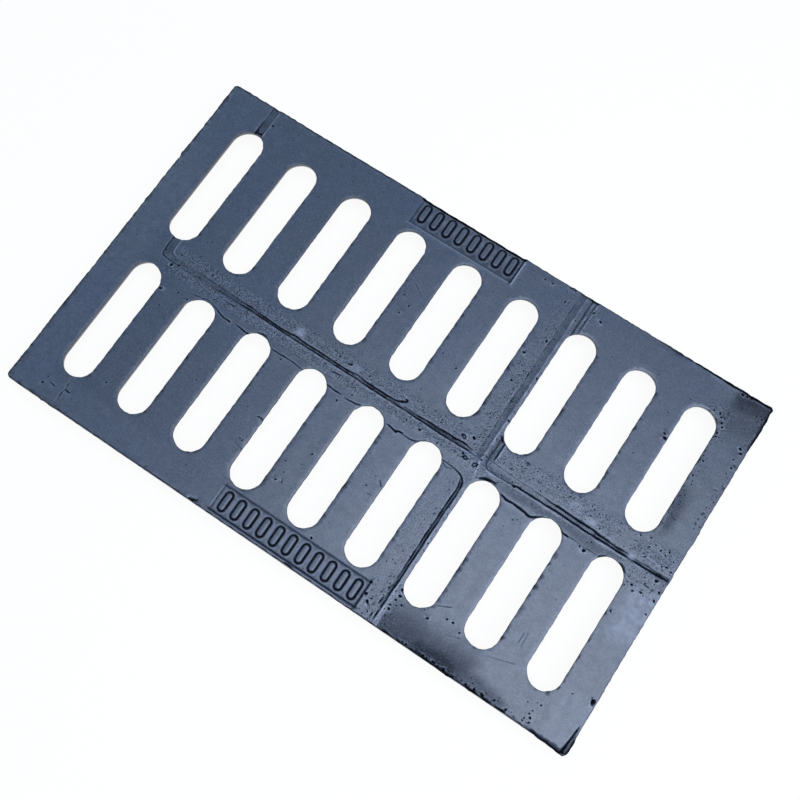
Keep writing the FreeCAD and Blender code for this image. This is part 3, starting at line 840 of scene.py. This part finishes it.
def painted_iron():
    """Sand-cast ductile iron dipped in bitumen paint.

    Gives a satin blue-black skin over sandy grain, painted black as shade in the seams and pits, with painted
    highlights and painted dark reflections.
    """
    material = bpy.data.materials.new("bitumen_dipped_sand_cast_iron")
    tree = bare_tree(material)
    place = put(tree, "ShaderNodeTexCoord", out="Object")
    painted_shade, painted_highlight, porous, sandy, painted_reflection, deck, pit = [
        put(tree, "ShaderNodeAttribute", out="Fac", attribute_name=name) for name in MARKS + ("pit",)]

    # Soft drifts of greyer and bluer paint as it drained, and a mottle of thick and thin paint
    drift = put(tree, NOISE, {"Vector": place, "Scale": per_mm(55), "Detail": 2.0})
    mottle = put(tree, NOISE, {"Vector": place, "Scale": per_mm(6), "Detail": 4.0})
    # Grains of moulding sand measure about 0.3 mm; they are drawn at 1.3 mm so that they show
    grain = put(tree, NOISE, {"Vector": place, "Scale": per_mm(1.3), "Detail": 3.0, "Roughness": 0.6})
    # Drag marks of the paint, long in x and 2 mm apart
    stretched = put(tree, "ShaderNodeMapping", {"Vector": place, "Scale": (0.06, 1.0, 1.0)})
    drag = put(tree, NOISE, {"Vector": stretched, "Scale": per_mm(2), "Detail": 2.0})
    # Cells of 3 mm, some of which hold a gas pit of about 1 mm, painted black as painted shade
    cells = put(tree, "ShaderNodeTexVoronoi", {"Vector": place, "Scale": per_mm(3)},
                voronoi_dimensions="2D").node.outputs
    chance = put(tree, "ShaderNodeSeparateColor", {"Color": cells["Color"]}).node.outputs

    # Contrast and height of the sand, few pits on the bars and many in the belts, size of the pits, and gloss
    ranges = ((sandy, 1.1, 6.0), (sandy, 0.045, 0.5), (porous, 0.991, 0.45), (chance[1], 0.1, 0.22),
              (mottle, 0.28, 0.44))
    gain, sand, bar_to_belt, radius, gloss = [
        put(tree, RANGE, {"Value": field, "To Min": low, "To Max": high})
        for field, low, high in ranges]
    from_mean = put(tree, MATH, {0: grain, 1: 0.5}, operation="SUBTRACT")
    speckle = put(tree, MATH, {0: from_mean, 1: gain, 2: 0.5}, operation="MULTIPLY_ADD")
    specks = put(tree, MATH, {0: chance[0], 1: bar_to_belt}, operation="GREATER_THAN")
    inside = put(tree, RANGE,
                 {"Value": cells["Distance"], "From Min": radius, "From Max": 0.0, "To Max": 2.5})
    for share in (deck, inside):
        specks = put(tree, MATH, {0: specks, 1: share}, operation="MULTIPLY")

    # Thin paint, and the crests and hollows of the sand: a painted highlight on the crests and painted shade
    # in the hollows
    parts = ((mottle, 0.4, 0.75, 0.5), (speckle, 0.5, 0.9, 0.43), (speckle, 0.5, 0.1, 0.78))
    thin, lit_crests, shaded_hollows = [
        put(tree, RANGE, {"Value": field, "From Min": low, "From Max": high, "To Max": most})
        for field, low, high, most in parts]
    # Layers over the paint: painted dark reflections, a painted highlight on the sand's crests and painted
    # shade in its hollows, painted highlights, and black painted shade in the seams, holes and pits
    layers = ((drift, "#3b4b61"), (thin, "#2c3b4f"), (painted_reflection, "#10151f"), (lit_crests, "#68778c"),
              (shaded_hollows, "#1d2736"), (painted_highlight, "#909cb2"), (painted_shade, "#07090f"), (pit, "#0b0e15"),
              (specks, "#070a10"))
    paint = linear("#444d5a")
    for share, colour in layers:
        paint = put(tree, "ShaderNodeMix", {0: share, 6: paint, 7: linear(colour)}, out=2, data_type="RGBA")

    # Relief in millimetres: sand, coarser in the porous belts, drag marks and pits
    relief = 0.0
    for pattern, height in ((grain, sand), (drag, 0.03), (specks, -0.15)):
        relief = put(tree, MATH, {0: pattern, 1: height, 2: relief}, operation="MULTIPLY_ADD")
    shade_black = painted_shade
    for mark in (pit, specks):
        shade_black = put(tree, MATH, {0: shade_black, 1: mark}, operation="MAXIMUM", use_clamp=True)
    matt = put(tree, MATH, {0: shade_black, 1: painted_reflection}, operation="MAXIMUM")
    gloss = put(tree, "ShaderNodeMix", {0: matt, 2: gloss, 3: 0.95}, data_type="FLOAT")
    # The painted shade loses its specular reflection too, so that it stays black
    shine = put(tree, RANGE, {"Value": shade_black, "To Min": 0.5, "To Max": 0.05})
    bump = put(tree, "ShaderNodeBump", {"Height": relief, "Distance": MM})
    surface = put(tree, "ShaderNodeBsdfPrincipled", {"Base Color": paint, "Roughness": gloss, "Normal": bump,
                                                     "Specular IOR Level": shine, "IOR": 1.5})
    put(tree, "ShaderNodeOutputMaterial", {"Surface": surface})
    return material


def cast_skin():
    """Tree that ripples the deck, roughens its porous belts and scatters small gas pits there."""
    tree = bpy.data.node_groups.new("cast_skin", "GeometryNodeTree")
    sockets = [("Casting", "Geometry")] + [(name, "Float") for name in SKIN_SIZES]
    sockets += [("Seed", "Int"), ("Paint", "Material")]
    for name, kind in sockets:
        tree.interface.new_socket(name, in_out="INPUT", socket_type="NodeSocket" + kind)
    tree.interface.new_socket("Casting", in_out="OUTPUT", socket_type="NodeSocketGeometry")
    given = put(tree, "NodeGroupInput").node.outputs
    place = put(tree, "GeometryNodeInputPosition")
    normal = put(tree, "GeometryNodeInputNormal")
    deck, porous, sandy, pit = [
        put(tree, "GeometryNodeInputNamedAttribute", {"Name": name}, data_type="FLOAT")
        for name in ("deck", "porous", "sandy", "pit")]

    rise = 0.0
    fields = (("Ripple length", "Ripple height", deck), ("Sand grain", "Sand height", sandy))
    for length, height, share in fields:
        scale = put(tree, MATH, {0: 1.0, 1: given[length]}, operation="DIVIDE")
        field = put(tree, NOISE, {"Vector": place, "Scale": scale, "Detail": 1.0})
        level = put(tree, MATH, {0: field, 1: 0.5}, operation="SUBTRACT")
        swell = put(tree, MATH, {0: level, 1: given[height]}, operation="MULTIPLY")
        rise = put(tree, MATH, {0: swell, 1: share, 2: rise}, operation="MULTIPLY_ADD")
    lift = put(tree, "ShaderNodeVectorMath", {0: normal, "Scale": rise}, operation="SCALE")
    rippled = put(tree, "GeometryNodeSetPosition", {"Geometry": given["Casting"], "Offset": lift})

    density = put(tree, MATH, {0: given["Pits per area"], 1: porous}, operation="MULTIPLY")
    pits = put(tree, "GeometryNodeDistributePointsOnFaces",
               {"Mesh": rippled, "Density": density, "Seed": given["Seed"]}, out="Points")
    near = put(tree, "GeometryNodeProximity", {0: pits}, out="Distance", target_element="POINTS")
    share = put(tree, RANGE, {"Value": near, "From Min": given["Pit radius"], "From Max": 0.0},
                interpolation_type="SMOOTHSTEP")
    pitted = put(tree, MATH, {0: share, 1: deck}, operation="MULTIPLY")
    marked = put(tree, "GeometryNodeStoreNamedAttribute",
                 {"Geometry": rippled, "Name": "pit", "Value": pitted}, data_type="FLOAT", domain="POINT")
    depth = put(tree, MATH, {0: pit, 1: given["Pit depth"]}, operation="MULTIPLY")
    down = put(tree, MATH, {0: depth, 1: -1.0}, operation="MULTIPLY")
    sink = put(tree, "ShaderNodeVectorMath", {0: normal, "Scale": down}, operation="SCALE")
    sunk = put(tree, "GeometryNodeSetPosition", {"Geometry": marked, "Offset": sink})
    whole = put(tree, "GeometryNodeRealizeInstances", {"Geometry": sunk})
    dressed = put(tree, "GeometryNodeSetMaterial", {"Geometry": whole, "Material": given["Paint"]})
    put(tree, "NodeGroupOutput", {"Casting": dressed})
    return tree


def finished_cover():
    """The cover as one plain mesh with cast skin and paint."""
    cover = placed("painted_cover", carved_casting())
    skin = cover.modifiers.new("cast_skin", "NODES")
    skin.node_group = cast_skin()
    values = SKIN_SIZES | {"Seed": SEED, "Paint": painted_iron()}
    for socket in skin.node_group.interface.items_tree:
        if socket.in_out == "INPUT" and socket.name in values:
            skin[socket.identifier] = values[socket.name]
    evaluated = cover.evaluated_get(bpy.context.evaluated_depsgraph_get())
    plain = bpy.data.meshes.new_from_object(evaluated)
    cover.modifiers.remove(skin)
    cover.data = plain
    plain.attributes.remove(plain.attributes["custom_normal"])
    plain.shade_smooth()
    plain.set_sharp_from_angle(angle=SHARP_ANGLE)
    return cover


def pale_floor():
    """Matt white paper, seen as nearly white and still holding the cover's shadow."""
    material = bpy.data.materials.new("matt_white_paper")
    tree = bare_tree(material)
    ray = put(tree, "ShaderNodeLightPath").node.outputs
    whiteness = 0.93
    seen = 0.0
    for kind in ("Is Camera Ray", "Is Glossy Ray", "Is Transmission Ray"):
        seen = put(tree, MATH, {0: seen, 1: ray[kind]}, operation="MAXIMUM")
    share = put(tree, MATH, {0: seen, 1: whiteness}, operation="MULTIPLY")
    paper = put(tree, "ShaderNodeBsdfDiffuse", {"Color": linear("#f4f4f4")})
    white = put(tree, "ShaderNodeEmission", {"Color": linear("#ffffff")})
    put(tree, "ShaderNodeOutputMaterial",
        {"Surface": put(tree, "ShaderNodeMixShader", {0: share, 1: paper, 2: white})})
    reach = 4.0
    level = -0.05 * MM
    corners = [(-reach, -reach, level), (reach, -reach, level), (reach, reach, level), (-reach, reach, level)]
    data = bpy.data.meshes.new("floor")
    data.from_pydata(corners, [], [(0, 1, 2, 3)])
    data.materials.append(material)
    return placed("floor", data)


def soft_light(name, place, wide, deep, power, colour):
    """Softbox that faces the floor."""
    lamp = bpy.data.lights.new(name, "AREA")
    lamp.shape = "RECTANGLE"
    lamp.size = wide
    lamp.size_y = deep
    lamp.energy = power
    lamp.color = linear(colour)[:3]
    placed(name, lamp).location = place


def studio():
    """Even pale surroundings, a large cool softbox overhead and a small one at the far left."""
    world = bpy.data.worlds.new("studio")
    tree = bare_tree(world)
    ray = put(tree, "ShaderNodeLightPath").node.outputs
    dim = put(tree, "ShaderNodeBackground", {"Color": linear("#e2e8f2"), "Strength": 0.14})
    white = put(tree, "ShaderNodeBackground", {"Color": linear("#ffffff")})
    sky = put(tree, "ShaderNodeMixShader", {0: ray["Is Camera Ray"], 1: dim, 2: white})
    put(tree, "ShaderNodeOutputWorld", {"Surface": sky})
    bpy.context.scene.world = world
    soft_light("overhead_softbox", (0.58, -0.075, 1.5), 1.7, 1.05, 37.5, "#e3ebfb")
    soft_light("far_left_softbox", (-1.5, 0.9, 1.5), 0.6, 0.6, 6.5, "#c8ecff")


def photo_camera():
    """Camera above the right of the near edge, looking at the middle of the deck."""
    data = bpy.data.cameras.new("camera")
    data.sensor_width = 36.0
    data.lens = 51.13
    camera = placed("camera", data)
    camera.location = Vector((148.1, -189.4, 828.3 + DECK_Z)) * MM
    target = Vector((12.3, 0.3, DECK_Z)) * MM
    roll = Quaternion((0, 0, 1), math.radians(-1.95))
    camera.rotation_euler = ((target - camera.location).to_track_quat("-Z", "Y") @ roll).to_euler()
    bpy.context.scene.camera = camera


openings = frame["record"]["physics"]["openings"]
slot_boxes = [opening["box_m"] for opening in openings if "_slot_" in opening["name"]]
slot_centres = sorted(((low[0] + high[0]) / 2 / MM, (low[1] + high[1]) / 2 / MM) for low, high in slot_boxes)
# Slots, far row first: x, y, radius of the throat, and the depth and lean of the metal that has run in
SLOTS = []
for is_far, run_ins in ((True, [(0, 0)] * len(RUN_INS)), (False, RUN_INS)):
    centres = [centre for centre in slot_centres if (centre[1] > 0) == is_far]
    for (x, y), (drift, wider), run in zip(centres, COLUMN_LIPS, run_ins):
        SLOTS.append((x + drift, y, SLOT_RADIUS + wider, *run))

bpy.context.scene.view_settings.view_transform = "Standard"
cover = finished_cover()
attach(cover, "root")
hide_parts(COVER)
pale_floor()
studio()
photo_camera()
